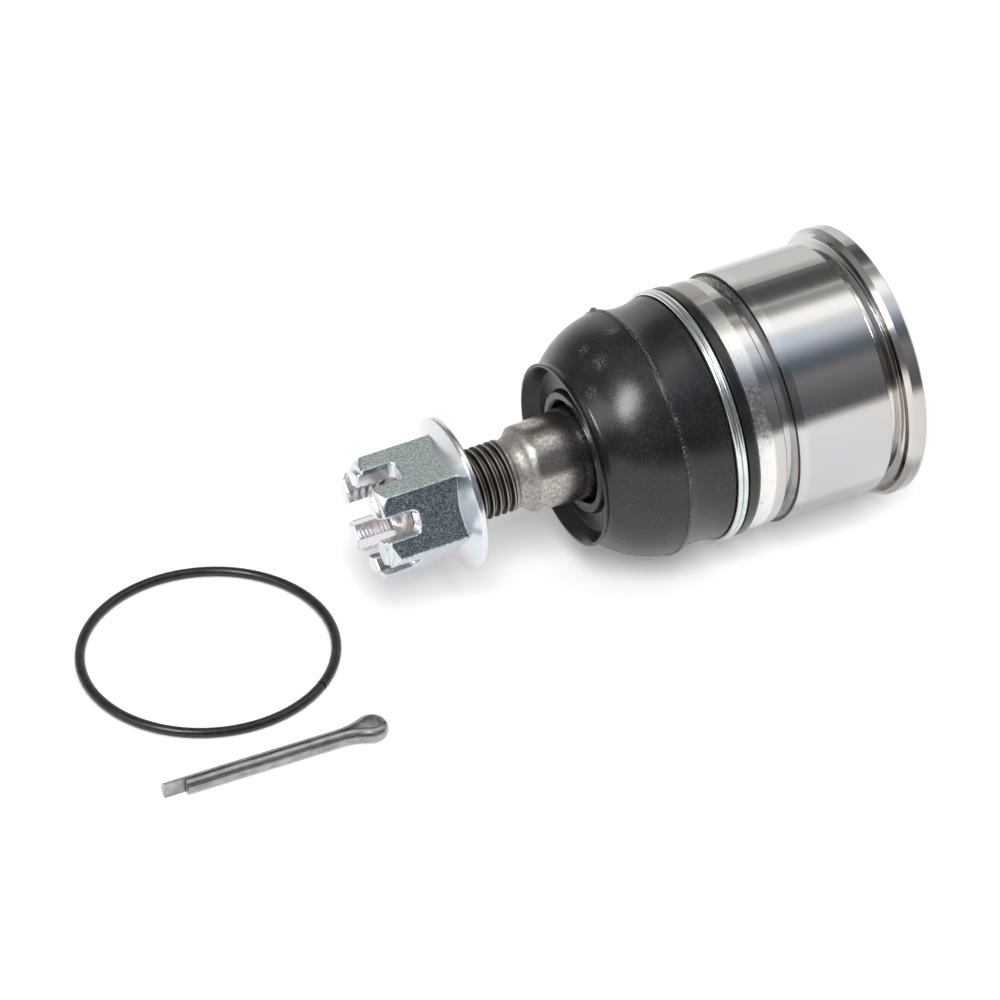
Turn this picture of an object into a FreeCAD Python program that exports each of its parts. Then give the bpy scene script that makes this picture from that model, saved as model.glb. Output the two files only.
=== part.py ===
"""Press-in suspension ball joint, lying on its side, with its split pin and its retaining ring beside it.

Every piece of the joint is drawn about one axis. A station is the distance along that axis, in
millimetres, from the rear face of the flange towards the nut. The axis then lies down on the floor,
on the rim of the flange and the ridge of the boot, with the nut towards -X.
"""
import FreeCAD, Part
import math
import os

import Sketcher
from FreeCAD import Placement, Rotation, Vector

doc = FreeCAD.newDocument("ball_joint")
sheet = doc.addObject("Spreadsheet::Sheet", "Sizes")
FULL_TURN = 360.0
FLAT_COUNT = 6


class Size:
    """A size worked out from the sheet: its value now, and the expression that keeps it tied."""

    def __init__(self, value, text):
        self.value = value
        self.text = text

    def __add__(self, other):
        other = as_size(other)
        return Size(self.value + other.value, f"({self.text} + {other.text})")

    def __sub__(self, other):
        other = as_size(other)
        return Size(self.value - other.value, f"({self.text} - {other.text})")

    def __mul__(self, other):
        other = as_size(other)
        return Size(self.value * other.value, f"({self.text} * {other.text})")

    def __truediv__(self, other):
        other = as_size(other)
        return Size(self.value / other.value, f"({self.text} / {other.text})")


def as_size(number):
    if isinstance(number, Size):
        return number
    return Size(float(number), f"{float(number):.6f}")


def root(size):
    return Size(math.sqrt(size.value), f"sqrt({size.text})")


def sine(angle):
    return Size(math.sin(math.radians(angle.value)), f"sin({angle.text} * 1 deg)")


def cosine(angle):
    return Size(math.cos(math.radians(angle.value)), f"cos({angle.text} * 1 deg)")


def slope_angle(rise, run):
    """The angle, in plain degrees, whose tangent is rise over run."""
    value = math.degrees(math.atan(rise.value / run.value))
    return Size(value, f"(atan({rise.text} / {run.text}) / 1 deg)")


def size(alias, value, note):
    """Writes one driving dimension in the sheet and returns it."""
    size.row += 1
    sheet.set(f"A{size.row}", alias)
    sheet.set(f"B{size.row}", str(value))
    sheet.set(f"C{size.row}", note)
    sheet.setAlias(f"B{size.row}", alias)
    return Size(float(value), f"Sizes.{alias}")


size.row = 0

# Housing, outside, from the rear face forwards
flange_radius = size("flange_radius", 26.9, "rear flange, over its rim")
flange_rim = size("flange_rim", 2.8, "width of the flange's cylindrical rim")
flange_bevel = size("flange_bevel", 0.9, "bevel on the front of the flange")
flange_edge = size("flange_edge", 0.5, "bevel on the rear edge of the flange")
relief_width = size("relief_width", 2.9, "undercut between the flange and the barrel")
relief_depth = size("relief_depth", 2.75, "depth of that undercut below the barrel")
relief_bend = size("relief_bend", 0.9, "hollow corner of the undercut, at the foot of the flange")
barrel_edge = size("barrel_edge", 0.2, "bevel on the barrel's rear edge")
barrel_radius = size("barrel_radius", 25.0, "press-fit barrel")
barrel_length = size("barrel_length", 19.9, "length of the barrel with its lead-in")
lead_length = size("lead_length", 2.1, "lead-in at the front of the barrel")
lead_drop = size("lead_drop", 0.15, "fall of the lead-in")
ring_groove_width = size("ring_groove_width", 2.3, "groove for the retaining ring")
ring_groove_depth = size("ring_groove_depth", 2.6, "depth of that groove below the barrel")
neck_drop = size("neck_drop", 0.5, "neck ahead of the ring groove, below the barrel")
neck_edge = size("neck_edge", 0.35, "bevel on the neck's edge at the ring groove")
neck_band = size("neck_band", 2.45, "straight band of the neck")
neck_length = size("neck_length", 5.7, "neck from the groove to the boot")
neck_fall = size("neck_fall", 0.25, "how much the neck narrows towards the boot")
boot_seat_drop = size("boot_seat_drop", 2.1, "seat under the boot, below the barrel")
boot_seat_length = size("boot_seat_length", 8.1, "length of that seat, to the front face")
clip_groove_width = size("clip_groove_width", 2.6, "groove that the clip pulls the boot into")
clip_groove_depth = size("clip_groove_depth", 0.9, "depth of that groove")
clip_groove_setback = size("clip_groove_setback", 2.4, "from the start of the seat to the groove")
front_bevel = size("front_bevel", 1.0, "bevel round the housing's front face")

# Housing, inside
ball_station = size("ball_station", 30.0, "centre of the ball")
ball_radius = size("ball_radius", 15.0, "ball")
seat_wall = size("seat_wall", 2.5, "wall of the bearing shells at the ball's waist")
running_fit = size("running_fit", 0.05, "clearance of pieces that turn on each other")
seat_lip = size("seat_lip", 9.5, "front shell, from the ball's centre to its front face")
seat_back = size("seat_back", 16.5, "rear shell, from the ball's centre to its rear face")
seat_split = size("seat_split", 0.6, "gap between the two shells")
shell_edge = size("shell_edge", 0.9, "bevel inside the front shell's lip")
mouth_radius = size("mouth_radius", 13.3, "opening of the housing where it holds the front shell")
mouth_flare = size("mouth_flare", 2.4, "widening of the mouth towards the front face")
grease_hole = size("grease_hole", 5.5, "hole in the rear shell, for grease")
washer_rise = size("washer_rise", 2.3, "height of the dished spring")
washer_wall = size("washer_wall", 0.9, "thickness of the dished spring")
washer_hole = size("washer_hole", 8.0, "hole of the dished spring")
washer_margin = size("washer_margin", 1.0, "gap from the spring to the bore")
cover_wall = size("cover_wall", 2.5, "thickness of the cover plate")
cover_radius = size("cover_radius", 20.0, "cover plate")
cover_dish = size("cover_dish", 0.9, "depth of the plate's pressed centre")
cover_dish_radius = size("cover_dish_radius", 8.0, "radius of the plate's pressed centre")
lip_wall = size("lip_wall", 1.8, "thickness of the lip rolled over the plate")
lip_reach = size("lip_reach", 2.4, "how far the lip reaches over the plate")
recess_inset = size("recess_inset", 0.1, "from the recess behind the lip in to the line of the plate's edge")
rear_wall = size("rear_wall", 4.9, "wall round the recess behind the plate")

# Ball stud
stud_neck_radius = size("stud_neck_radius", 7.0, "neck of the stud")
stud_neck_end = size("stud_neck_end", 48.5, "station where the neck ends")
flare_end = size("flare_end", 54.5, "station where the flare meets the tapered shank")
shank_radius = size("shank_radius", 9.3, "thick end of the tapered shank")
shoulder_radius = size("shoulder_radius", 8.45, "thin end of the tapered shank")
shoulder_station = size("shoulder_station", 72.3, "thin end of the tapered shank")
shoulder_bevel = size("shoulder_bevel", 0.6, "bright bevel on the shoulder")
cove_length = size("cove_length", 2.3, "hollow from the shoulder down to the thread")
cove_bend = size("cove_bend", 3.2, "radius of that hollow")
thread_radius = size("thread_radius", 7.0, "crest of the thread")
thread_relief = size("thread_relief", 0.35, "relief at the start of the thread")
thread_end = size("thread_end", 97.0, "station where the thread ends")
tip_radius = size("tip_radius", 6.0, "end face of the stud")
tip_station = size("tip_station", 98.0, "end face of the stud")
centre_radius = size("centre_radius", 2.2, "centre hole in the end face, at its mouth")
centre_depth = size("centre_depth", 2.6, "depth of that hole's cone")
centre_pilot = size("centre_pilot", 0.8, "drilled foot of that hole")
centre_reach = size("centre_reach", 3.4, "depth of the centre hole with its foot")
pin_hole = size("pin_hole", 3.6, "width of the hole for the split pin")
pin_hole_station = size("pin_hole_station", 91.9, "centre of that hole")

# Castle nut
nut_station = size("nut_station", 85.8, "underside of the nut's flange")
nut_height = size("nut_height", 19.1, "nut, over all")
nut_flats = size("nut_flats", 21.0, "across the flats")
nut_flange_radius = size("nut_flange_radius", 14.9, "rim of the nut's flange")
nut_rim = size("nut_rim", 1.5, "width of that rim")
nut_rim_bend = size("nut_rim_bend", 1.1, "rounding of that rim")
nut_rim_fall = size("nut_rim_fall", 0.28, "how much that rounding takes off the rim's edges")
nut_under_bevel = size("nut_under_bevel", 0.82, "width of the bevel under the rim")
nut_under_rise = size("nut_under_rise", 0.37, "height of the bevel under the rim")
nut_cone_rise = size("nut_cone_rise", 2.1, "rise of the dished flange to the hexagon")
nut_crown_bend = size("nut_crown_bend", 1.0, "rounding of the crown's tips")
nut_crown_fall = size("nut_crown_fall", 1.3, "length over which the corners run out below the tips")
nut_crown_radius = size("nut_crown_radius", 10.9, "crown, over its turned tips")
nut_slot_width = size("nut_slot_width", 4.5, "slots of the crown")
nut_slot_depth = size("nut_slot_depth", 7.4, "depth of the slots")
nut_slot_bend = size("nut_slot_bend", 1.2, "rounded corners of the slots")
nut_bore_fit = size("nut_bore_fit", 0.08, "clearance from the nut's bore to the thread")
nut_bevel = size("nut_bevel", 0.9, "bevel of the bore")
nut_edge = size("nut_edge", 0.35, "rounded edges of the hexagon, the crown and the slots")
nut_turn = size("nut_turn", 22.8, "how far a flat and the pin hole are turned up from the side")

# Dust boot
boot_clearance = size("boot_clearance", 0.05, "boot to the housing's seat")
boot_bead_wall = size("boot_bead_wall", 1.85, "rubber wall of the bead at the large end")
boot_bead_width = size("boot_bead_width", 2.5, "from the boot's edge to the clip")
boot_bead_bend = size("boot_bead_bend", 0.8, "rounded edge of the bead")
clip_seat_wall = size("clip_seat_wall", 0.85, "rubber wall under the clip, over the seat")
clip_seat_width = size("clip_seat_width", 2.6, "width of the boot's channel for the clip")
channel_step = size("channel_step", 0.35, "step from the channel up to the waist")
boot_wall = size("boot_wall", 1.7, "rubber wall")
waist_bend = size("waist_bend", 15.0, "curvature of the waist between the clip and the ridge")
waist_draft = size("waist_draft", 0.8, "how much the boot narrows inside, from the ridge to the housing")
ridge_station = size("ridge_station", 49.1, "moulded ridge")
ridge_drop = size("ridge_drop", 0.5, "moulded ridge, below the barrel")
ridge_width = size("ridge_width", 0.9, "width of the ridge")
ridge_height = size("ridge_height", 0.4, "height of the ridge over the boot")
dome_station = size("dome_station", 61.7, "where the dome meets the valley")
dome_radius = size("dome_radius", 17.65, "radius there")
dome_bend = size("dome_bend", 19.0, "curvature of the dome")
dome_inner_bend = size("dome_inner_bend", 11.5, "curvature of the dome inside")
valley_station = size("valley_station", 62.3, "valley behind the flared lip")
valley_radius = size("valley_radius", 17.45, "radius of the valley")
lip_station = size("lip_station", 63.6, "edge of the flared lip")
lip_radius = size("lip_radius", 18.1, "edge of the flared lip")
lip_edge = size("lip_edge", 0.7, "thickness of the lip's edge")
lip_step = size("lip_step", 1.3, "depth of the step inside the lip")
lip_step_width = size("lip_step_width", 0.7, "width of that step")
floor_station = size("floor_station", 60.5, "floor inside the lip")
floor_radius = size("floor_radius", 15.9, "outer radius of that floor")
inner_bead_radius = size("inner_bead_radius", 12.3, "raised bead round the shank")
inner_bead_rise = size("inner_bead_rise", 1.2, "height of that bead over the floor")
inner_bead_bevel = size("inner_bead_bevel", 0.45, "bevels of that bead")
inner_bead_hole = size("inner_bead_hole", 10.1, "hole through the bead")
small_end_station = size("small_end_station", 56.9, "inner end of the boot's small end")
seal_gap = size("seal_gap", 0.12, "seal lip to the shank")
seal_width = size("seal_width", 0.8, "width of the seal lip")
seal_flare = size("seal_flare", 0.8, "length over which the hole narrows to the seal lip")

# Boot collar, wound clip
collar_inner = size("collar_inner", 10.9, "steel ring in the small end, inside")
collar_outer = size("collar_outer", 12.1, "steel ring in the small end, outside")
collar_length = size("collar_length", 2.4, "length of that ring")
clip_wire_radius = size("clip_wire_radius", 0.55, "wire of the clip")
clip_press = size("clip_press", 0.02, "how far the clip's turns press into each other")
CLIP_TURNS = 2

# Loose pieces on the floor
ring_undersize = size("ring_undersize", 0.3, "free ring over its wire, below the barrel")
ring_wire_radius = size("ring_wire_radius", 0.95, "wire of the retaining ring")
ring_gap = size("ring_gap", 1.0, "gap between the ring's ends, in degrees")
ring_ahead = size("ring_ahead", 135.84, "from the flange's rear face to the ring's centre")
ring_aside = size("ring_aside", 1.75, "from the joint's axis to the ring's centre, on the far side")
ring_gap_turn = size("ring_gap_turn", -51.5, "where the gap lies, from +X")
split_radius = size("split_radius", 1.55, "split pin, over both legs")
split_gap = size("split_gap", 0.16, "gap between the legs")
split_long = size("split_long", 33.6, "long leg, to the start of the eye")
split_short = size("split_short", 29.6, "short leg, to the start of the eye")
split_throat = size("split_throat", 13.0, "bend from a leg into the eye")
split_eye = size("split_eye", 1.6, "inside of the eye")
split_aside = size("split_aside", 32.5, "from the joint's axis to the split pin, on the near side")
split_ahead = size("split_ahead", 158.2, "from the flange's rear face to the long leg's tip")

# Radii and stations that follow from the sizes above
neck_radius = barrel_radius - neck_drop
boot_seat_radius = barrel_radius - boot_seat_drop
recess_radius = barrel_radius - rear_wall
ring_radius = barrel_radius - ring_undersize
ridge_radius = barrel_radius - ridge_drop
boot_inner = boot_seat_radius + boot_clearance
boot_bead_radius = boot_inner + boot_bead_wall
clip_seat_radius = boot_inner + clip_seat_wall
bevel_end = flange_rim + flange_bevel
barrel_start = bevel_end + relief_width
barrel_end = barrel_start + barrel_length
neck_start = barrel_end + ring_groove_width
boot_start = neck_start + neck_length
housing_end = boot_start + boot_seat_length
clip_groove_start = boot_start + clip_groove_setback
bore_radius = ball_radius + seat_wall + running_fit
mouth_station = ball_station + seat_lip
seat_back_station = ball_station - seat_back
cover_front = seat_back_station - washer_rise
cover_back = cover_front - cover_wall
lip_back = cover_back - lip_wall
nut_end = nut_station + nut_height
clip_seat_start = boot_start + boot_bead_width
split_height = split_radius

# How the joint lies: on the flange's rim and on the boot's ridge
ridge_end = ridge_station + ridge_width / 2
dip = slope_angle(flange_radius - ridge_radius, ridge_end - flange_rim)
split_eye_outer = split_eye + split_radius
joint_x = (ring_ahead + ring_radius - flange_radius * sine(dip)) / 2
joint_y = (split_aside + split_eye_outer - flange_radius) / 2
joint_z = flange_rim * sine(dip) + flange_radius * cosine(dip)
half_dip = dip / 2

pieces = []


def lay_down(piece):
    """Puts a piece drawn about the joint's axis where the joint lies, with the nut towards -X."""
    piece.Placement = Placement(Vector(), Rotation(Vector(0, 0, 1), 180))
    minus_one = as_size(-1)
    piece.setExpression("Placement.Rotation.Axis.x", (minus_one * sine(half_dip)).text)
    piece.setExpression("Placement.Rotation.Axis.z", cosine(half_dip).text)
    set_down(piece, joint_x, joint_y, joint_z)


def set_down(piece, across, along, up):
    piece.setExpression("Placement.Base.x", across.text)
    piece.setExpression("Placement.Base.y", along.text)
    piece.setExpression("Placement.Base.z", up.text)


def new_body(name):
    body = doc.addObject("PartDesign::Body", name)
    body.Label = name
    pieces.append(body)
    return body


def origin_plane(body, role):
    for feature in body.Origin.OriginFeatures:
        if feature.Role == role:
            return feature
    raise ValueError(role)


def new_sketch(body, name, role="XZ_Plane"):
    sketch = body.newObject("Sketcher::SketchObject", name)
    sketch.AttachmentSupport = [(origin_plane(body, role), "")]
    sketch.MapMode = "FlatFace"
    return sketch


def fix_point(sketch, edge, end, across, up):
    """Ties one end of an edge to the sheet, at a distance from the sketch's two axes."""
    for kind, axis, distance in (("DistanceX", -2, across), ("DistanceY", -1, up)):
        if distance.value == 0.0:
            sketch.addConstraint(Sketcher.Constraint("PointOnObject", edge, end, axis))
            continue
        tie = sketch.addConstraint(Sketcher.Constraint(kind, -1, 1, edge, end, distance.value))
        sketch.setExpression(f"Constraints[{tie}]", distance.text)


def arc_middle(start, end, radius):
    """Middle of the short arc from start to end: its centre is on the left where radius is positive."""
    chord = end - start
    half = chord.Length / 2
    sagitta = abs(radius) - math.sqrt(radius * radius - half * half)
    right = Vector(chord.y, -chord.x, 0).normalize()
    side = 1 if radius > 0 else -1
    return (start + end) / 2 + right * sagitta * side


def draw_outline(sketch, corners):
    """Closes an outline through corners, each (across, up), or with a bend for an arc to the next.

    A positive bend turns left on the way to the next corner, and a negative one right.
    """
    corners = [tuple(as_size(number) for number in corner) for corner in corners]
    points = [Vector(corner[0].value, corner[1].value, 0) for corner in corners]
    ends = []
    for index, corner in enumerate(corners):
        start = points[index]
        end = points[(index + 1) % len(points)]
        if len(corner) == 2:
            edge = sketch.addGeometry(Part.LineSegment(start, end), False)
            ends.append((edge, 1, 2))
            continue
        bend = corner[2]
        middle = arc_middle(start, end, bend.value)
        edge = sketch.addGeometry(Part.Arc(start, middle, end), False)
        ends.append((edge, 1, 2) if bend.value > 0 else (edge, 2, 1))
        size_text = bend.text if bend.value > 0 else f"(-1 * {bend.text})"
        tie = sketch.addConstraint(Sketcher.Constraint("Radius", edge, abs(bend.value)))
        sketch.setExpression(f"Constraints[{tie}]", size_text)
    for index, (edge, first, last) in enumerate(ends):
        following, next_first, _ = ends[(index + 1) % len(ends)]
        sketch.addConstraint(Sketcher.Constraint("Coincident", edge, last, following, next_first))
        fix_point(sketch, edge, first, corners[index][0], corners[index][1])


def turn(body, name, corners, kind="PartDesign::Revolution"):
    """Revolves an outline of (station, radius) corners about the joint's axis."""
    sketch = new_sketch(body, name + "_outline")
    draw_outline(sketch, corners)
    feature = body.newObject(kind, name)
    feature.Profile = sketch
    feature.ReferenceAxis = (sketch, ["H_Axis"])
    feature.Angle = FULL_TURN
    return feature


def groove(body, name, corners):
    return turn(body, name, corners, "PartDesign::Groove")


# Housing: one turned blank, then its chamber, its grooves and its mouth
housing = new_body("housing")
turn(housing, "housing_blank", [
    (0, 0),
    (0, flange_radius - flange_edge),
    (flange_edge, flange_radius),
    (flange_rim, flange_radius),
    (bevel_end, flange_radius - flange_bevel),
    (bevel_end, barrel_radius - barrel_edge),
    (barrel_start, barrel_radius - barrel_edge),
    (barrel_start + barrel_edge, barrel_radius),
    (barrel_end - lead_length, barrel_radius),
    (barrel_end, barrel_radius - lead_drop),
    (barrel_end, neck_radius - neck_edge),
    (neck_start, neck_radius - neck_edge),
    (neck_start + neck_edge, neck_radius),
    (neck_start + neck_band, neck_radius),
    (boot_start, neck_radius - neck_fall),
    (boot_start, boot_seat_radius),
    (housing_end - front_bevel, boot_seat_radius),
    (housing_end, boot_seat_radius - front_bevel),
    (housing_end, 0),
])
relief_radius_foot = barrel_radius - relief_depth
groove(housing, "barrel_relief", [
    (bevel_end, relief_radius_foot + relief_bend),
    (bevel_end, flange_radius),
    (barrel_start, flange_radius),
    (barrel_start, relief_radius_foot),
    (bevel_end + relief_bend, relief_radius_foot, relief_bend * -1),
])
groove(housing, "ring_groove", [
    (barrel_end, barrel_radius - ring_groove_depth),
    (barrel_end, flange_radius),
    (neck_start, flange_radius),
    (neck_start, barrel_radius - ring_groove_depth),
])
groove(housing, "boot_groove", [
    (clip_groove_start, boot_seat_radius - clip_groove_depth),
    (clip_groove_start, flange_radius),
    (clip_groove_start + clip_groove_width, flange_radius),
    (clip_groove_start + clip_groove_width, boot_seat_radius - clip_groove_depth),
])
groove(housing, "chamber", [
    (0, 0),
    (0, recess_radius),
    (lip_back, recess_radius),
    (lip_back, recess_radius - recess_inset - lip_reach),
    (cover_back, recess_radius - recess_inset - lip_reach),
    (cover_back, cover_radius),
    (cover_front, cover_radius),
    (cover_front, bore_radius),
    (mouth_station, bore_radius),
    (mouth_station, mouth_radius),
    (housing_end, mouth_radius + mouth_flare),
    (housing_end, 0),
])

# Cover plate, pressed into a shallow dish at its centre
cover = new_body("cover_plate")
turn(cover, "cover_disc", [
    (cover_back, cover_dish_radius),
    (cover_back, cover_radius),
    (cover_front, cover_radius),
    (cover_front, cover_dish_radius),
    (cover_front - cover_dish, cover_dish_radius - cover_dish),
    (cover_front - cover_dish, 0),
    (cover_back - cover_dish, 0),
    (cover_back - cover_dish, cover_dish_radius - cover_dish),
])

# Dished spring between the plate and the rear shell
washer_outer = bore_radius - washer_margin
washer = new_body("preload_washer")
turn(washer, "washer_cone", [
    (cover_front, washer_outer),
    (cover_front + washer_wall, washer_outer),
    (seat_back_station, washer_hole),
    (seat_back_station - washer_wall, washer_hole),
])

# Bearing shells, hollowed to the ball with a running fit
shell_radius = ball_radius + running_fit
shell_outer = ball_radius + seat_wall
half_split = seat_split / 2
grease_depth = root(shell_radius * shell_radius - grease_hole * grease_hole)
split_half_radius = root(shell_radius * shell_radius - half_split * half_split)
shell_lip_depth = seat_lip - shell_edge
shell_lip_radius = root(shell_radius * shell_radius - shell_lip_depth * shell_lip_depth)
rear_shell = new_body("rear_seat")
turn(rear_shell, "rear_shell", [
    (seat_back_station, grease_hole),
    (ball_station - grease_depth, grease_hole, shell_radius * -1),
    (ball_station - half_split, split_half_radius),
    (ball_station - half_split, shell_outer),
    (seat_back_station + seat_wall, shell_outer),
    (seat_back_station, shell_outer - seat_wall),
])
front_shell = new_body("front_seat")
turn(front_shell, "front_shell", [
    (ball_station + half_split, shell_outer),
    (ball_station + half_split, split_half_radius, shell_radius * -1),
    (ball_station + shell_lip_depth, shell_lip_radius),
    (mouth_station - running_fit, shell_lip_radius + shell_edge),
    (mouth_station - running_fit, shell_outer),
])

# Ball stud: ball, neck, flare, tapered shank, cove, thread and drilled tip
ball_neck = root(ball_radius * ball_radius - stud_neck_radius * stud_neck_radius)
cove_start = shoulder_station + shoulder_bevel
cove_top = shoulder_radius - shoulder_bevel
thread_start = cove_start + cove_length
relief_radius = thread_radius - thread_relief
stud = new_body("ball_stud")
turn(stud, "stud_forging", [
    (ball_station - ball_radius, 0, ball_radius * -1),
    (ball_station, ball_radius, ball_radius * -1),
    (ball_station + ball_neck, stud_neck_radius),
    (stud_neck_end, stud_neck_radius),
    (flare_end, shank_radius),
    (shoulder_station, shoulder_radius),
    (cove_start, cove_top, cove_bend),
    (thread_start, relief_radius),
    (thread_start + thread_relief, relief_radius),
    (thread_start + thread_relief * 2, thread_radius),
    (thread_end, thread_radius),
    (tip_station, tip_radius),
    (tip_station, centre_radius),
    (tip_station - centre_depth, centre_pilot),
    (tip_station - centre_reach, centre_pilot),
    (tip_station - centre_reach, 0),
])


def pierce(body, name, sketch):
    """Cuts a sketch right through a body, both ways from the sketch's plane."""
    pocket = body.newObject("PartDesign::Pocket", name)
    pocket.Profile = sketch
    pocket.Type = "ThroughAll"
    pocket.Midplane = True
    return pocket


def turned_sketch(body, name, role, axis):
    """A sketch turned about the joint's axis, so that what it cuts faces the same way as a flat."""
    sketch = new_sketch(body, name, role)
    sketch.AttachmentOffset = Placement(Vector(), Rotation(axis, nut_turn.value))
    sketch.setExpression("AttachmentOffset.Rotation.Angle", nut_turn.text)
    return sketch


hole_sketch = turned_sketch(stud, "pin_hole_outline", "XZ_Plane", Vector(1, 0, 0))
hole_circle = Part.Circle(Vector(pin_hole_station.value, 0, 0), Vector(0, 0, 1), pin_hole.value / 2)
hole_edge = hole_sketch.addGeometry(hole_circle, False)
fix_point(hole_sketch, hole_edge, 3, pin_hole_station, as_size(0))
hole_tie = hole_sketch.addConstraint(Sketcher.Constraint("Diameter", hole_edge, pin_hole.value))
hole_sketch.setExpression(f"Constraints[{hole_tie}]", pin_hole.text)
doc.recompute()
pierce(stud, "stud_pin_hole", hole_sketch)

# Castle nut: dished flange, hexagon, turned crown, bore and six slots
nut = new_body("castle_nut")
nut_bore = thread_radius + nut_bore_fit
half_flats = nut_flats / 2
half_corner = as_size(FULL_TURN / FLAT_COUNT / 2)
corner_radius = half_flats / cosine(half_corner)
rim_top = nut_station + nut_rim
rim_side = nut_flange_radius - nut_rim_fall
cone_top = rim_top + nut_cone_rise
turn(nut, "nut_flange", [
    (nut_station, 0),
    (nut_station, rim_side - nut_under_bevel),
    (nut_station + nut_under_rise, rim_side, nut_rim_bend * -1),
    (rim_top, rim_side),
    (cone_top, half_flats),
    (cone_top, 0),
])
hexagon = turned_sketch(nut, "nut_hexagon_outline", "YZ_Plane", Vector(0, 0, 1))
half_side = half_flats * sine(half_corner) / cosine(half_corner)
draw_outline(hexagon, [
    (half_flats, half_side * -1),
    (half_flats, half_side),
    (0, corner_radius),
    (half_flats * -1, half_side),
    (half_flats * -1, half_side * -1),
    (0, corner_radius * -1),
])
hexagon.setExpression("AttachmentOffset.Base.z", (nut_station + nut_rim).text)
hex_pad = nut.newObject("PartDesign::Pad", "nut_hexagon")
hex_pad.Profile = hexagon
hex_pad.setExpression("Length", (nut_height - nut_rim).text)
crown_margin = corner_radius + nut_crown_bend
tips_start = nut_end - nut_crown_bend
groove(nut, "nut_crown", [
    (tips_start - nut_crown_fall, crown_margin),
    (tips_start - nut_crown_fall, corner_radius),
    (tips_start, nut_crown_radius, nut_crown_bend),
    (nut_end, nut_crown_radius - nut_crown_bend),
    (nut_end + nut_crown_bend, nut_crown_radius - nut_crown_bend),
    (nut_end + nut_crown_bend, crown_margin),
])
groove(nut, "nut_bore", [
    (nut_station - nut_bevel, 0),
    (nut_station - nut_bevel, nut_bore + nut_bevel * 2),
    (nut_station + nut_bevel, nut_bore),
    (nut_end + nut_bevel, nut_bore),
    (nut_end + nut_bevel, 0),
])
slot_base = nut_end - nut_slot_depth
slot_half = nut_slot_width / 2
slot_flat = slot_half - nut_slot_bend
slot_outline = turned_sketch(nut, "nut_slot_outline", "XZ_Plane", Vector(1, 0, 0))
draw_outline(slot_outline, [
    (slot_base, slot_flat, nut_slot_bend * -1),
    (slot_base + nut_slot_bend, slot_half),
    (nut_end + nut_bevel, slot_half),
    (nut_end + nut_bevel, slot_half * -1),
    (slot_base + nut_slot_bend, slot_half * -1, nut_slot_bend * -1),
    (slot_base, slot_flat * -1),
])
doc.recompute()
slot = pierce(nut, "nut_slot", slot_outline)
doc.recompute()
slots = nut.newObject("PartDesign::PolarPattern", "nut_slots")
slots.Originals = [slot]
slots.Axis = (origin_plane(nut, "X_Axis"), [""])
slots.Angle = FULL_TURN
slots.Occurrences = FLAT_COUNT
nut.Tip = slots
doc.recompute()


def outer_edges(shape, least_radius, least_station):
    """Names of the edges whose middle lies outside a radius and ahead of a station."""
    names = []
    for number, edge in enumerate(shape.Edges, 1):
        middle = edge.valueAt((edge.FirstParameter + edge.LastParameter) / 2)
        if math.hypot(middle.y, middle.z) > least_radius.value and middle.x > least_station.value:
            names.append(f"Edge{number}")
    return names


rounding = nut.newObject("PartDesign::Fillet", "nut_edges")
rounding.Base = (slots, outer_edges(slots.Shape, nut_bore + nut_edge * 2, cone_top + nut_edge))
rounding.setExpression("Radius", nut_edge.text)

# Dust boot: bead, clip channel, waist, ridge, dome, valley, flared lip and sealing small end
channel_inner = boot_inner - clip_groove_depth
channel_start = clip_groove_start + boot_clearance
channel_end = clip_groove_start + clip_groove_width - boot_clearance
clip_seat_end = clip_seat_start + clip_seat_width
side_radius = clip_seat_radius + channel_step
ridge_start = ridge_station - ridge_width / 2
ridge_foot = ridge_radius - ridge_height
seal_radius = shank_radius + seal_gap
collar_slot_inner = collar_inner - running_fit
collar_slot_outer = collar_outer + running_fit
collar_slot_end = small_end_station + collar_length + running_fit
seal_end = small_end_station + seal_width
bead_top = floor_station + inner_bead_rise
front_clear = housing_end + boot_wall
front_radius = ridge_foot - boot_wall - waist_draft
boot = new_body("dust_boot")
turn(boot, "boot_moulding", [
    (boot_start + boot_clearance, boot_inner),
    (boot_start + boot_clearance, boot_bead_radius - boot_bead_bend, boot_bead_bend * -1),
    (boot_start + boot_clearance + boot_bead_bend, boot_bead_radius),
    (clip_seat_start, boot_bead_radius),
    (clip_seat_start, clip_seat_radius),
    (clip_seat_end, clip_seat_radius),
    (clip_seat_end, side_radius, waist_bend),
    (ridge_start, ridge_foot),
    (ridge_start, ridge_radius),
    (ridge_end, ridge_radius),
    (ridge_end, ridge_foot, dome_bend * -1),
    (dome_station, dome_radius),
    (valley_station, valley_radius),
    (lip_station, lip_radius),
    (lip_station, lip_radius - lip_edge),
    (lip_station - lip_step, lip_radius - lip_edge - lip_step_width),
    (floor_station, floor_radius),
    (floor_station, inner_bead_radius),
    (bead_top, inner_bead_radius - inner_bead_bevel),
    (bead_top, inner_bead_hole + inner_bead_bevel),
    (bead_top - inner_bead_bevel, inner_bead_hole),
    (seal_end + seal_flare, inner_bead_hole),
    (seal_end, seal_radius),
    (small_end_station, seal_radius),
    (small_end_station, collar_slot_inner),
    (collar_slot_end, collar_slot_inner),
    (collar_slot_end, collar_slot_outer),
    (small_end_station, collar_slot_outer),
    (small_end_station, floor_radius - boot_wall),
    (floor_station - boot_wall, floor_radius, dome_inner_bend),
    (ridge_station, ridge_foot - boot_wall),
    (front_clear, front_radius),
    (housing_end, boot_inner),
    (channel_end, boot_inner),
    (channel_end, channel_inner),
    (channel_start, channel_inner),
    (channel_start, boot_inner),
])

# Steel ring inside the boot's small end
collar = new_body("boot_collar")
turn(collar, "collar_ring", [
    (small_end_station, collar_inner),
    (small_end_station, collar_outer),
    (small_end_station + collar_length, collar_outer),
    (small_end_station + collar_length, collar_inner),
])

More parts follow.
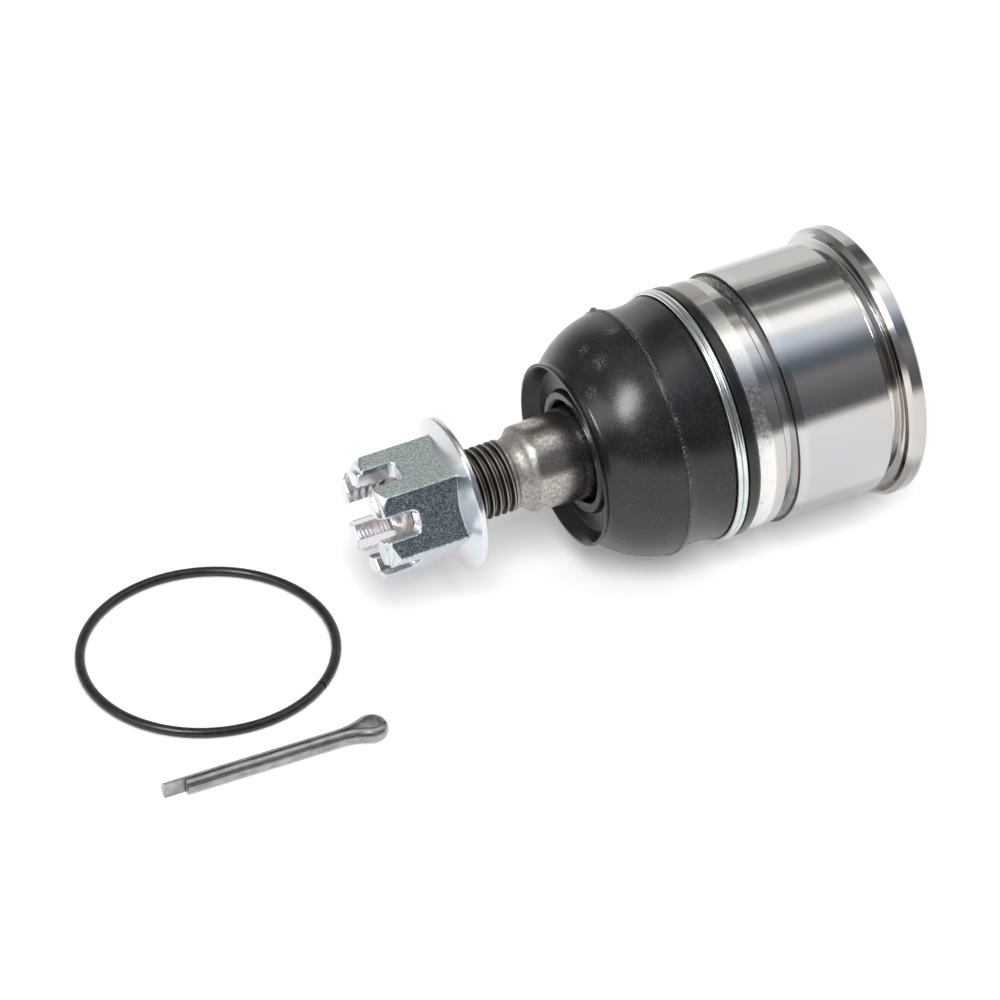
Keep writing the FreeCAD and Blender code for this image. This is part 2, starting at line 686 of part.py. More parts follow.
# Clip: round wire wound side by side in the boot's channel, its turns pressed together
clip = new_body("boot_clip")
clip_pitch = clip_wire_radius * 2 - clip_press
half_pitch = clip_pitch / 2
clip_centre_radius = clip_seat_radius + boot_clearance + clip_wire_radius
clip_first = clip_seat_start + clip_seat_width / 2 - half_pitch * (CLIP_TURNS - 1)
clip_last = clip_first + clip_pitch * (CLIP_TURNS - 1)
contact_height = root(clip_wire_radius * clip_wire_radius - half_pitch * half_pitch)
contacts = [clip_first + half_pitch + clip_pitch * turn_number for turn_number in range(CLIP_TURNS - 1)]
clockwise = clip_wire_radius * -1
winding = [(clip_first - clip_wire_radius, clip_centre_radius, clockwise)]
for station in contacts:
    winding.append((station, clip_centre_radius + contact_height, clockwise))
winding.append((clip_last + clip_wire_radius, clip_centre_radius, clockwise))
for station in reversed(contacts):
    winding.append((station, clip_centre_radius - contact_height, clockwise))
turn(clip, "clip_winding", winding)

for piece in pieces:
    lay_down(piece)

# Retaining ring, flat on the floor ahead of the joint
ring = new_body("retaining_ring")
ring_centre_radius = ring_radius - ring_wire_radius
ring_sketch = new_sketch(ring, "ring_wire_outline")
ring_circle = Part.Circle(Vector(ring_centre_radius.value, 0, 0), Vector(0, 0, 1), ring_wire_radius.value)
ring_edge = ring_sketch.addGeometry(ring_circle, False)
fix_point(ring_sketch, ring_edge, 3, ring_centre_radius, as_size(0))
ring_tie = ring_sketch.addConstraint(Sketcher.Constraint("Radius", ring_edge, ring_wire_radius.value))
ring_sketch.setExpression(f"Constraints[{ring_tie}]", ring_wire_radius.text)
ring_wire = ring.newObject("PartDesign::Revolution", "ring_wire")
ring_wire.Profile = ring_sketch
ring_wire.ReferenceAxis = (ring_sketch, ["V_Axis"])
ring_wire.setExpression("Angle", (as_size(FULL_TURN) - ring_gap).text)
ring.Placement = Placement(Vector(), Rotation(Vector(0, 0, 1), ring_gap_turn.value))
ring.setExpression("Placement.Rotation.Angle", ring_gap_turn.text)
set_down(ring, joint_x - ring_ahead, joint_y + ring_aside, ring_wire_radius)

# Split pin: half-round wire bent back on itself round an eye, the legs side by side
split_pin = new_body("cotter_pin")
half_gap = split_gap / 2
throat_height = split_throat + half_gap
eye_reach = root((split_throat + split_eye) * (split_throat + split_eye) - throat_height * throat_height)
touch_share = split_eye / (split_throat + split_eye)
touch_x = eye_reach - eye_reach * touch_share
touch_y = throat_height * touch_share
section = new_sketch(split_pin, "split_section", "YZ_Plane")
section.AttachmentOffset = Placement(Vector(0, 0, -split_long.value), Rotation())
section.setExpression("AttachmentOffset.Base.z", (split_long * -1).text)
draw_outline(section, [
    (half_gap, split_radius * -1, split_radius),
    (half_gap + split_radius, 0, split_radius),
    (half_gap, split_radius),
])
spine = new_sketch(split_pin, "split_spine", "XY_Plane")


def spine_arc(start, end, bend):
    middle = arc_middle(start, end, bend)
    return Part.Arc(start, middle, end)


def draw_spine():
    """The wire's path: long leg, throat, eye, throat, short leg."""
    gap = half_gap.value
    touch = Vector(touch_x.value, touch_y.value, 0)
    mirrored = Vector(touch_x.value, -touch_y.value, 0)
    far = Vector(eye_reach.value + split_eye.value, 0, 0)
    long_tip = Vector(-split_long.value, gap, 0)
    long_root = Vector(0, gap, 0)
    short_root = Vector(0, -gap, 0)
    short_tip = Vector(-split_short.value, -gap, 0)
    edges = [
        Part.LineSegment(long_tip, long_root),
        spine_arc(long_root, touch, split_throat.value),
        Part.Arc(touch, far, mirrored),
        spine_arc(mirrored, short_root, split_throat.value),
        Part.LineSegment(short_root, short_tip),
    ]
    for edge in edges:
        spine.addGeometry(edge, False)
    zero = as_size(0)
    fix_point(spine, 0, 1, split_long * -1, half_gap)
    fix_point(spine, 0, 2, zero, half_gap)
    spine.addConstraint(Sketcher.Constraint("Coincident", 0, 2, 1, 1))
    spine.addConstraint(Sketcher.Constraint("Coincident", 1, 2, 2, 2))
    spine.addConstraint(Sketcher.Constraint("Coincident", 2, 1, 3, 1))
    spine.addConstraint(Sketcher.Constraint("Coincident", 3, 2, 4, 1))
    fix_point(spine, 2, 2, touch_x, touch_y)
    fix_point(spine, 2, 1, touch_x, touch_y * -1)
    fix_point(spine, 4, 1, zero, half_gap * -1)
    fix_point(spine, 4, 2, split_short * -1, half_gap * -1)
    for edge, radius in ((1, split_throat), (2, split_eye), (3, split_throat)):
        tie = spine.addConstraint(Sketcher.Constraint("Radius", edge, radius.value))
        spine.setExpression(f"Constraints[{tie}]", radius.text)


draw_spine()
doc.recompute()
wire = split_pin.newObject("PartDesign::AdditivePipe", "split_wire")
wire.Profile = section
wire.Spine = (spine, [f"Edge{number}" for number in range(1, 6)])
split_pin.Placement = Placement(Vector(), Rotation())
set_down(split_pin, joint_x - split_ahead + split_long, joint_y - split_aside, split_height)

doc.recompute()

for item in doc.Objects:
    if "Invalid" in item.State or "Error" in item.State:
        raise RuntimeError(f"{item.Label}: {item.State}")

os.makedirs("parts", exist_ok=True)
for piece in pieces:
    shape = piece.Shape
    if shape.isNull() or not shape.isValid():
        raise RuntimeError(f"{piece.Label} has no valid shape")
    shape.exportStep(f"parts/{piece.Label}.step")
    box = shape.BoundBox
    print(f"{piece.Label}: {len(shape.Solids)} solid, {shape.Volume:.0f} mm3, "
          f"X {box.XMin:.2f} to {box.XMax:.2f}, Y {box.YMin:.2f} to {box.YMax:.2f}, "
          f"Z {box.ZMin:.2f} to {box.ZMax:.2f}")
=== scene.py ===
# %% [markdown]
# # A suspension ball joint, dressed on its CAD frame
# The joint lies on its side on a white table, with its split pin and its retaining ring in front of it.
# The CAD model gives every place and size. This script keeps the hard steel pieces as they are, gives
# them finishes, and makes again the three pieces that plain CAD can't show well: the threaded stud, the
# rubber boot and the wound wire clip.

import math

import bmesh
import bpy
from mathutils import Matrix, Vector


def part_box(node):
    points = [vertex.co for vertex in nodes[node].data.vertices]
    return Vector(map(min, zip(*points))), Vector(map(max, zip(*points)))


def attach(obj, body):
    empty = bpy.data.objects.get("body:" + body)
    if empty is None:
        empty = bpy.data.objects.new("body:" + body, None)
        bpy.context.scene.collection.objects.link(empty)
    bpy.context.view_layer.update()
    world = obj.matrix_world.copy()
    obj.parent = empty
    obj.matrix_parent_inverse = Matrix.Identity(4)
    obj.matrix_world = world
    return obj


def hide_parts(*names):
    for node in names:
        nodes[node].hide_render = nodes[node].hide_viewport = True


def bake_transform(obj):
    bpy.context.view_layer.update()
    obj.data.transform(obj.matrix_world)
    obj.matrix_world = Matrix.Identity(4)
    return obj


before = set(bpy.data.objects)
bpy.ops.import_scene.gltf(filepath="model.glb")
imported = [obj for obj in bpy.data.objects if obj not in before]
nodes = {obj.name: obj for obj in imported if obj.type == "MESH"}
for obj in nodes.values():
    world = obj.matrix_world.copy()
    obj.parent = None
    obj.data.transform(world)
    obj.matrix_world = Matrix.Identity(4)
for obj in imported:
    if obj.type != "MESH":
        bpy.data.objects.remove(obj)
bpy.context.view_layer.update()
print("CAD nodes:", ", ".join(sorted(nodes)))

# %% [markdown]
# ## One axis for the whole joint
# Every round piece is turned about one axis. The joint rests on the flange's rim and on the boot's
# ridge, which is thinner, so the axis dips a little towards the nut. New pieces are drawn about the X
# axis in millimetres, where X is the station: the distance from the flange's rear face. One matrix
# then lays them down in the frame, and its inverse lets a material ask for station and radius.

# %% Sizes and the matrix that lays a drawing down
MM = 0.001
FLANGE_RADIUS = 26.9
FLANGE_EDGE = 0.5
FLANGE_RIM = 2.8
RIDGE_RADIUS = 24.5
RIDGE_END = 49.55
dip = math.atan((FLANGE_RADIUS - RIDGE_RADIUS) / (RIDGE_END - FLANGE_RIM))

housing_low, housing_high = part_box("housing")
rear = Vector((
    housing_high.x - (FLANGE_RADIUS - FLANGE_EDGE) * math.sin(dip) * MM,
    (housing_low.y + housing_high.y) / 2,
    (FLANGE_RIM * math.sin(dip) + FLANGE_RADIUS * math.cos(dip)) * MM,
))
lie_axis = Vector((-math.sin(dip / 2), 0, math.cos(dip / 2)))
turned = Matrix.Rotation(math.pi, 4, lie_axis)
LAY = Matrix.Translation(rear) @ turned @ Matrix.Scale(MM, 4)
print("axis at the rear face (mm):", [round(c / MM, 3) for c in rear], "dip", round(math.degrees(dip), 3))

# %% [markdown]
# ## Colours and nodes
# Colours are written as sRGB hex codes, as a paint chart gives them, and one function turns them into
# the linear values that the shaders work in. A second small function adds a node, sets its options and
# plugs values or other nodes' sockets into it. The rest wrap the nodes that every material uses and give
# back a socket, so that a material reads from top to bottom.

# %% Helpers for materials
def colour(code):
    channels = []
    for start in (0, 2, 4):
        value = int(code[start:start + 2], 16) / 255
        linear = value / 12.92 if value <= 0.04045 else ((value + 0.055) / 1.055) ** 2.4
        channels.append(linear)
    return (*channels, 1.0)


def grey(level):
    return (level, level, level, 1.0)


def plug(tree, node, inputs):
    """Sets a node's sockets, by name or number, to values or links them to other nodes' outputs."""
    for name, value in inputs.items():
        if isinstance(value, bpy.types.NodeSocket):
            tree.links.new(value, node.inputs[name])
        else:
            node.inputs[name].default_value = value


def add(tree, kind, inputs=None, **settings):
    """Adds a node with its options set and its inputs plugged."""
    node = tree.nodes.new(kind)
    for name, value in settings.items():
        setattr(node, name, value)
    plug(tree, node, inputs or {})
    return node


def combine(tree, operation, *terms):
    """Joins values or sockets two at a time by an operation of the Math node."""
    result = terms[0]
    for term in terms[1:]:
        result = add(tree, "ShaderNodeMath", {0: result, 1: term}, operation=operation).outputs[0]
    return result


def remap(tree, value, low, high, to_low=0.0, to_high=1.0, **settings):
    """Takes the range from low to high on to another one, and stops at that one's ends."""
    limits = {1: low, 2: high, 3: to_low, 4: to_high}
    return add(tree, "ShaderNodeMapRange", {0: value, **limits}, **settings).outputs[0]


def noise(tree, place, scale, detail, roughness=0.5):
    inputs = {"Vector": place, "Scale": scale, "Detail": detail, "Roughness": roughness}
    return add(tree, "ShaderNodeTexNoise", inputs).outputs[0]


def ramp(tree, value, stops):
    """A Color Ramp over a value. Each stop is a position and a colour."""
    node = add(tree, "ShaderNodeValToRGB", {0: value})
    points = node.color_ramp.elements
    while len(points) < len(stops):
        points.new(0.5)
    for point, (position, tone) in zip(points, stops):
        point.position = position
        point.color = tone
    return node.outputs[0]


def mix(tree, share, first, second, blend_type="MIX"):
    """Mixes two colours, from the first at a share of 0 to the second at 1."""
    return add(tree, "ShaderNodeMix", {0: share, 6: first, 7: second},
               data_type="RGBA", blend_type=blend_type).outputs[2]


def bump(tree, height, strength, depth, normal=None):
    """A shading normal that leans as a relief of this depth would, from a normal it is given or its own."""
    inputs = {"Height": height, "Strength": strength, "Distance": depth}
    if normal is not None:
        inputs["Normal"] = normal
    return add(tree, "ShaderNodeBump", inputs).outputs[0]


def empty_tree(owner):
    """The node tree of a material or a world, with nothing in it."""
    owner.use_nodes = True
    owner.node_tree.nodes.clear()
    return owner.node_tree


def new_material(name):
    material = bpy.data.materials.new(name)
    return material, empty_tree(material)


def finish_material(material, inputs):
    """Gives a material its shader and its output, and prints how many nodes it took."""
    tree = material.node_tree
    shader = add(tree, "ShaderNodeBsdfPrincipled", inputs)
    add(tree, "ShaderNodeOutputMaterial", {"Surface": shader.outputs["BSDF"]})
    print(material.name, "has", len(tree.nodes), "nodes")


# %% [markdown]
# ## The studio
# Polished steel has little colour of its own: it shows the room. In the photograph the barrel shows, from
# its top edge down, a pale backdrop, a dark ceiling, a long soft box, a dim room and then the white table.
# All of these run along the barrel, so the world is drawn as bands: a colour ramp over the angle about
# the X axis, with 0 straight up, -90 at the horizon behind and +90 at the horizon in front. The soft box
# hangs over the flange's end; towards the nut the ceiling is dim, and a second ramp stands for that.
# The camera itself sees plain white instead.

# %% World with the bands that the steel shows
STUDIO_PEAK = 2.0
BANDS = [
    (-90, (0.92, 0.90, 0.86)),
    (-62, (1.05, 1.04, 0.98)),
    (-57, (0.80, 0.79, 0.75)),
    (-50, (0.30, 0.30, 0.29)),
    (-42, (0.12, 0.12, 0.12)),
    (-31, (0.13, 0.13, 0.13)),
    (-25, (0.22, 0.23, 0.21)),
    (-22, (1.00, 1.00, 0.94)),
    (-19, (0.36, 0.38, 0.34)),
    (-12, (0.62, 0.61, 0.56)),
    (-6, (1.85, 1.80, 1.70)),
    (4, (1.80, 1.78, 1.72)),
    (10, (1.15, 1.20, 1.20)),
    (20, (0.94, 1.04, 1.14)),
    (27, (0.54, 0.57, 0.67)),
    (36, (0.165, 0.21, 0.26)),
    (43, (0.15, 0.18, 0.205)),
    (52, (0.31, 0.30, 0.31)),
    (70, (0.20, 0.20, 0.21)),
    (86, (0.14, 0.13, 0.145)),
    (90, (0.58, 0.58, 0.60)),
]
DIM_BANDS = [
    (-90, (0.60, 0.60, 0.58)),
    (-78, (0.40, 0.40, 0.39)),
    (-68, (0.15, 0.15, 0.15)),
    (-58, (0.30, 0.30, 0.29)),
    (-33, (0.40, 0.40, 0.39)),
    (0, (0.36, 0.37, 0.38)),
    (30, (0.32, 0.34, 0.38)),
    (51, (0.18, 0.19, 0.20)),
    (86, (0.14, 0.14, 0.15)),
    (90, (0.60, 0.60, 0.62)),
]
BOX_FROM, BOX_TO = -0.15, 0.10
HALF_TURN = 180
world = bpy.data.worlds.new("studio")
bpy.context.scene.world = world
sky = empty_tree(world)
direction = add(sky, "ShaderNodeTexCoord").outputs["Generated"]
towards = add(sky, "ShaderNodeSeparateXYZ", {0: direction}).outputs
frontwards = combine(sky, "MULTIPLY", towards["Y"], -1.0)
band_angle = combine(sky, "ARCTAN2", frontwards, towards["Z"])
round_share = remap(sky, band_angle, -math.pi, math.pi)
dim_ceiling, box_ceiling = (
    ramp(sky, round_share, [
        ((degrees + HALF_TURN) / (2 * HALF_TURN), (*(level / STUDIO_PEAK for level in levels), 1.0))
        for degrees, levels in bands
    ])
    for bands in (DIM_BANDS, BANDS)
)
under_box = remap(sky, towards["X"], BOX_FROM, BOX_TO, interpolation_type="SMOOTHSTEP")
ceiling = mix(sky, under_box, dim_ceiling, box_ceiling)
rays = add(sky, "ShaderNodeLightPath").outputs
seen = combine(sky, "MAXIMUM", rays["Is Camera Ray"], rays["Is Transmission Ray"])
room = add(sky, "ShaderNodeBackground", {"Color": ceiling, "Strength": STUDIO_PEAK})
backdrop = add(sky, "ShaderNodeBackground", {"Color": grey(1.0), "Strength": 1.0})
both = add(sky, "ShaderNodeMixShader", {0: seen, 1: room.outputs[0], 2: backdrop.outputs[0]})
add(sky, "ShaderNodeOutputWorld", {"Surface": both.outputs[0]})
print("studio bands:", len(BANDS), "under the soft box and", len(DIM_BANDS), "towards the nut")

# %% [markdown]
# ## Meshes and objects
# Every piece, lamp and camera becomes an object that is linked to the scene, and every mesh is first
# drawn as a bmesh. Two functions do these two steps.

# %% Helpers for meshes and objects
def mesh_data(name, bm):
    """Turns a bmesh into mesh data, and frees it."""
    data = bpy.data.meshes.new(name)
    bm.to_mesh(data)
    bm.free()
    return data


def new_object(name, data):
    """An object that holds the data, linked to the scene."""
    item = bpy.data.objects.new(name, data)
    bpy.context.scene.collection.objects.link(item)
    return item


# %% [markdown]
# ## The table
# The table is white, and it has to keep the soft shadow, so it is a plain diffuse white. A little glow
# for the camera and for reflections brings it up to the white of the background. Dull surfaces don't
# receive this glow, so the shadow and the rubber's underside keep their dark tones.

# %% Table
TABLE_HALF = 4.0
TABLE_GLOW = 0.26
table_mesh = bmesh.new()
bmesh.ops.create_grid(table_mesh, x_segments=1, y_segments=1, size=TABLE_HALF)
table = new_object("table", mesh_data("table", table_mesh))

table_paint, tree = new_material("white_table")
rays = add(tree, "ShaderNodeLightPath").outputs
seen = combine(tree, "MAXIMUM", rays["Is Camera Ray"], rays["Is Glossy Ray"], rays["Is Transmission Ray"])
white = add(tree, "ShaderNodeBsdfDiffuse", {"Color": colour("f2f2f2")})
glow = add(tree, "ShaderNodeEmission", {
    "Color": grey(1.0), "Strength": combine(tree, "MULTIPLY", seen, TABLE_GLOW),
})
total = add(tree, "ShaderNodeAddShader", {0: white.outputs[0], 1: glow.outputs[0]})
add(tree, "ShaderNodeOutputMaterial", {"Surface": total.outputs[0]})
table.data.materials.append(table_paint)
print("table", 2 * TABLE_HALF, "m wide")

# %% [markdown]
# ## Three lamps
# One large lamp above and in front adds the light that the bands don't give, and it casts the soft
# shadow. The steel already shows the soft box, so the lamp itself is left out of reflections. Two smaller
# ones beyond the nut do the opposite: they only show, one as the soft spot on the boot's dome, the other
# as the bright bevel of the flange. Lamps of this kind are easier to place than more bands in the world.

# %% Lamps
LAMP_PLACE = Vector((-0.22, -0.58, 0.88))
LAMP_SIZE = (0.55, 0.55)
LAMP_POWER = 9.2
SPOT_PLACE = Vector((-0.56, -0.28, 0.82))
SPOT_SIZE = (0.22, 0.50)
SPOT_POWER = 7.5
SIDE_PLACE = Vector((-0.95, 0.0, 0.50))
SIDE_SIZE = (0.46, 0.26)
SIDE_POWER = 1.2


def add_lamp(name, place, size, power):
    """A rectangular lamp that shines at the joint and isn't in the picture itself."""
    data = bpy.data.lights.new(name, "AREA")
    data.shape = "RECTANGLE"
    data.size, data.size_y = size
    data.energy = power
    lamp = new_object(name, data)
    lamp.location = place
    lamp.rotation_euler = (-place).to_track_quat("-Z", "Y").to_euler()
    lamp.visible_camera = False
    return lamp


add_lamp("overhead", LAMP_PLACE, LAMP_SIZE, LAMP_POWER).visible_glossy = False
add_lamp("spot_on_dome", SPOT_PLACE, SPOT_SIZE, SPOT_POWER).visible_diffuse = False
add_lamp("side_panel", SIDE_PLACE, SIDE_SIZE, SIDE_POWER).visible_diffuse = False
bpy.context.scene.view_settings.view_transform = "Standard"
print("lamps:", ", ".join(light.name for light in bpy.data.lights))

# %% [markdown]
# ## The camera
# The photograph was taken from the front left and above, with a long lens. Its place was worked out from
# the round edges in the photograph, which turn into ellipses whose shape depends on the view.

# %% Camera
VIEW_AZIMUTH = math.radians(25.77)
VIEW_ELEVATION = math.radians(36.8)
VIEW_DISTANCE = 0.750
VIEW_LENS = 138.1
AIM_FROM_REAR = Vector((-66.40, 21.17, 0)) * MM
sight = Vector((
    math.sin(VIEW_AZIMUTH) * math.cos(VIEW_ELEVATION),
    math.cos(VIEW_AZIMUTH) * math.cos(VIEW_ELEVATION),
    -math.sin(VIEW_ELEVATION),
))
camera_data = bpy.data.cameras.new("camera")
camera_data.lens = VIEW_LENS
camera_data.sensor_width = 36.0
camera_data.clip_start = 0.01
camera = new_object("camera", camera_data)
camera.location = Vector((rear.x, rear.y, 0)) + AIM_FROM_REAR - sight * VIEW_DISTANCE
camera.rotation_euler = sight.to_track_quat("-Z", "Y").to_euler()
bpy.context.scene.camera = camera
print("camera (mm):", [round(c / MM, 1) for c in camera.location])

# %% [markdown]
# ## Station and radius inside a material
# Turned steel changes along its axis: a lead-in, a stained relief, a groove. Object coordinates are in
# metres in the frame, and a Mapping node of the Texture kind undoes the laying down, so that its output
# is millimetres about the joint's own axis. The radius is the length of what is left without X.

# %% Coordinates about the joint's axis
def frame_place(tree):
    """A socket for the point in metres in the frame."""
    return add(tree, "ShaderNodeTexCoord").outputs["Object"]


def joint_place(tree):
    """A socket for the point in millimetres about the joint's axis."""
    return add(tree, "ShaderNodeMapping", {
        "Vector": frame_place(tree),
        "Location": rear,
        "Rotation": turned.to_euler(),
        "Scale": (MM, MM, MM),
    }, vector_type="TEXTURE").outputs["Vector"]


def station_and_radius(tree, local):
    """Sockets for how far along the axis a point is, and how far from it."""
    parts = add(tree, "ShaderNodeSeparateXYZ", {"Vector": local}).outputs
    square_on = add(tree, "ShaderNodeCombineXYZ", {"Y": parts["Y"], "Z": parts["Z"]}).outputs[0]
    radius = add(tree, "ShaderNodeVectorMath", {0: square_on}, operation="LENGTH").outputs["Value"]
    return parts["X"], radius


def window(tree, value, limits, soft):
    """1 between the limits, falling to 0 within the soft distance outside them."""
    low, high = limits
    return combine(tree, "MULTIPLY",
                   remap(tree, value, low - soft, low), remap(tree, value, high + soft, high))


# %% [markdown]
# ## Turned steel for the housing
# The housing is turned from steel bar and its barrel is ground to size. The eye sees sharp reflections
# drawn out round the barrel, fine turning lines, a dark brown line at the ring groove's front edge, and
# brown patches in the narrow recesses, partly oil and partly painted shade. Windows in station and angle
# also paint shade on the underside, where the steel faces the table, and darken the bands where it mirrors
# the dim room in front, which is painted reflection. The chamfer behind the ring groove is painted near
# white, a painted highlight. These marks could be painted on an image, but a ramp over the station and
# windows in station and angle need no unwrapping and stay sharp close up.

# %% Tones and stains of the housing steel
RAMP_LENGTH = 45.0
TONES = [
    (0.0, "c2c0bf"),
    (2.7, "c8c6c5"),
    (3.6, "d2d0ce"),
    (4.0, "d6d2ce"),
    (6.4, "d2cdc8"),
    (6.8, "c6c5c5"),
    (24.3, "c5c4c4"),
    (24.7, "cdcdce"),
    (26.45, "c8c9ca"),
    (26.56, "c3c1c0"),
    (28.6, "c6c4c3"),
    # painted highlight: the chamfer behind the ring groove painted near white, which brightens its
    # reflected line
    (28.9, "f4f2ee"),
    (29.2, "c8c6c5"),
    (31.1, "c8c7c6"),
    (31.5, "efeeed"),
    (34.5, "e6e5e4"),
]
# stations from and to, degrees from the top towards the front, colour, strength, and whether it is patchy;
# the rows are stains, painted shade and painted reflection, as marked on each
STAINS_AND_SHADE = [
    # painted reflection: the relief darker where it mirrors the dim room in front
    ((3.9, 6.9), (48, 64), "3a302b", 0.65, False),
    # partly oil, partly painted shade of the recess: patches at the relief's top
    ((3.9, 6.9), (-12, 6), "4a4540", 0.45, True),
    # partly oil and rust, partly painted shade: brown patches low in the relief
    ((3.9, 6.9), (112, 122), "6b4a3c", 0.60, True),
    # painted shade: the flange's underside, towards the table
    ((1.0, 3.9), (108, 140), "5e574e", 0.60, False),
    # painted shade: the barrel's underside, towards the table
    ((6.8, 26.4), (120, 150), "77726e", 0.55, False),
    # painted reflection: the barrel's end darker where it mirrors the dim room in front
    ((24.7, 26.4), (49, 66), "6a6868", 0.60, False),
    # partly oil, partly painted shade of the recess: patches at the ring groove's top
    ((26.3, 27.4), (-34, 2), "3c342d", 0.60, True),
    # partly oil, partly painted shade of the recess: patches low in the ring groove
    ((26.3, 27.4), (108, 128), "54483e", 0.50, True),
    # darker over the top of the satin neck
    ((31.3, 34.6), (-34, -6), "7c7874", 0.75, False),
    # partly mottling, partly painted reflection: the neck darker where it mirrors the dim room in front
    ((31.3, 34.6), (49, 66), "5a5656", 0.55, True),
]
MARK_SOFT_MM = 0.15
MARK_SOFT_RADIANS = 0.12
GROOVE_WALL = (26.4, 26.52)
GROOVE_EDGE_RADII = (24.2, 24.9)
steel, tree = new_material("turned_steel")
local = joint_place(tree)
station, radius = station_and_radius(tree, local)
around = add(tree, "ShaderNodeSeparateXYZ", {"Vector": local}).outputs
turn = combine(tree, "ARCTAN2", around["Y"], around["Z"])
along = combine(tree, "DIVIDE", station, RAMP_LENGTH)
tones = ramp(tree, along, [(place / RAMP_LENGTH, colour(code)) for place, code in TONES])
drift = noise(tree, local, 0.06, 2.0)
cool_or_warm = ramp(tree, drift, [(0.35, colour("f3f5f8")), (0.65, colour("fbf7f3"))])
stained_and_shaded = mix(tree, 1.0, tones, cool_or_warm, "MULTIPLY")
uneven = remap(tree, noise(tree, local, 1.1, 5.0, 0.65), 0.38, 0.56)
# each row mixes in its stain and its painted shade and reflection, as marked on the rows
for stations, degrees, code, strength, patchy in STAINS_AND_SHADE:
    angles = [math.radians(d) for d in degrees]
    share = combine(tree, "MULTIPLY", window(tree, station, stations, MARK_SOFT_MM),
                    window(tree, turn, angles, MARK_SOFT_RADIANS), strength)
    if patchy:
        share = combine(tree, "MULTIPLY", share, uneven)
    stained_and_shaded = mix(tree, share, stained_and_shaded, colour(code))
# a dark brown line round the outer edge of the ring groove's front wall
groove_edge_line = combine(tree, "MULTIPLY", window(tree, station, GROOVE_WALL, 0.03),
                 window(tree, radius, GROOVE_EDGE_RADII, 0.10))
stained_and_shaded = mix(tree, groove_edge_line, stained_and_shaded, colour("4a4038"))
print("housing steel:", len(TONES), "tones and", len(STAINS_AND_SHADE), "stains")

# %% [markdown]
# ## Turning lines, pits and recesses of the housing
# The tool leaves fine lines round the steel, drawn by noise that changes fast along the axis but slowly
# round it. The lower side of the neck is pitted in places. A form tool leaves the floors of the two grooves
# a little dished, so they look out over the joint's nose and not into their own wall; a broad bump gives
# them that lean. It also leaves their walls torn and rounded, so those shine like the floor beside them:
# their shading normal is turned most of the way outwards. Both are shading only, because they are too
# slight to model, and the shapes keep their plain square grooves.

# %% Pits, turning lines and leaning recesses of the housing steel
NECK_PITS = (31.2, 33.5)
LOWER_SIDE = (math.radians(40), math.radians(50))
NECK_EDGE = (31.1, 31.6)
DISHED_FLOORS = [(4.6, 6.6), (26.5, 28.8)]
DISH_SLOPE = math.tan(math.radians(8))
RELIEF_FOOT = (3.75, 4.6)
TORN_RADII = (21.0, 24.5)
LEAN = 0.85
specks = remap(tree, noise(tree, local, 2.2, 6.0, 0.7), 0.52, 0.60)
patches = remap(tree, noise(tree, local, 0.16, 1.0), 0.50, 0.62)
pits = combine(tree, "MULTIPLY", specks, patches, remap(tree, station, *NECK_PITS),
               remap(tree, turn, *LOWER_SIDE, 0.15))
pitted_colour = mix(tree, pits, stained_and_shaded, colour("3a322f"))
stretched = add(tree, "ShaderNodeMapping", {"Vector": local, "Scale": (9.0, 0.12, 0.12)}).outputs[0]
lines = noise(tree, stretched, 1.0, 3.0)
polish = remap(tree, lines, 0.3, 0.7, 0.10, 0.19)
satin_neck = remap(tree, station, *NECK_EDGE, 0.0, 0.13)
rough = combine(tree, "ADD", polish, combine(tree, "MULTIPLY", pits, 0.4), satin_neck)

out_from_axis = add(tree, "ShaderNodeCombineXYZ", {"Y": around["Y"], "Z": around["Z"]}).outputs[0]
laid_out = add(tree, "ShaderNodeMapping", {"Vector": out_from_axis, "Rotation": turned.to_euler()},
               vector_type="VECTOR").outputs[0]
outward = add(tree, "ShaderNodeVectorMath", {0: laid_out}, operation="NORMALIZE").outputs[0]
torn_walls = combine(tree, "MAXIMUM", window(tree, station, RELIEF_FOOT, 0.1),
                     window(tree, station, GROOVE_WALL, 0.05))
leaning = combine(tree, "MULTIPLY", torn_walls, window(tree, radius, TORN_RADII, 0.8), LEAN)
own_normal = add(tree, "ShaderNodeNewGeometry").outputs["Normal"]
leant = add(tree, "ShaderNodeMix", {0: leaning, 4: own_normal, 5: outward}, data_type="VECTOR").outputs[1]
leant = add(tree, "ShaderNodeVectorMath", {0: leant}, operation="NORMALIZE").outputs[0]
dish = combine(tree, "ADD", *(
    remap(tree, station, start, end, (end - start) * DISH_SLOPE * MM, 0.0) for start, end in DISHED_FLOORS
))
dished = bump(tree, dish, 1.0, 1.0, leant)
finish_material(steel, {
    "Metallic": 1.0,
    "Base Color": pitted_colour,
    "Roughness": rough,
    "Normal": bump(tree, lines, 0.12, 0.004 * MM, dished),
})

# %% [markdown]
# ## Pressed steel and bearing plastic
# The rear cover and the two rings inside are pressed from sheet: duller, with a faint grain and no turning
# lines. One noise drives their tone, gloss and relief together, because on sheet the same grain makes all
# three. The bearing shells are moulded acetal, off-white and slightly waxy.

# %% Pressed steel and acetal
plate, tree = new_material("pressed_steel")
grain = noise(tree, frame_place(tree), 900.0, 4.0)
finish_material(plate, {
    "Metallic": 1.0,
    "Base Color": ramp(tree, grain, [(0.3, colour("9b9a9c")), (0.7, colour("b4b3b3"))]),
    "Roughness": remap(tree, grain, 0.3, 0.7, 0.28, 0.42),
    "Normal": bump(tree, grain, 0.2, 0.02 * MM),
})

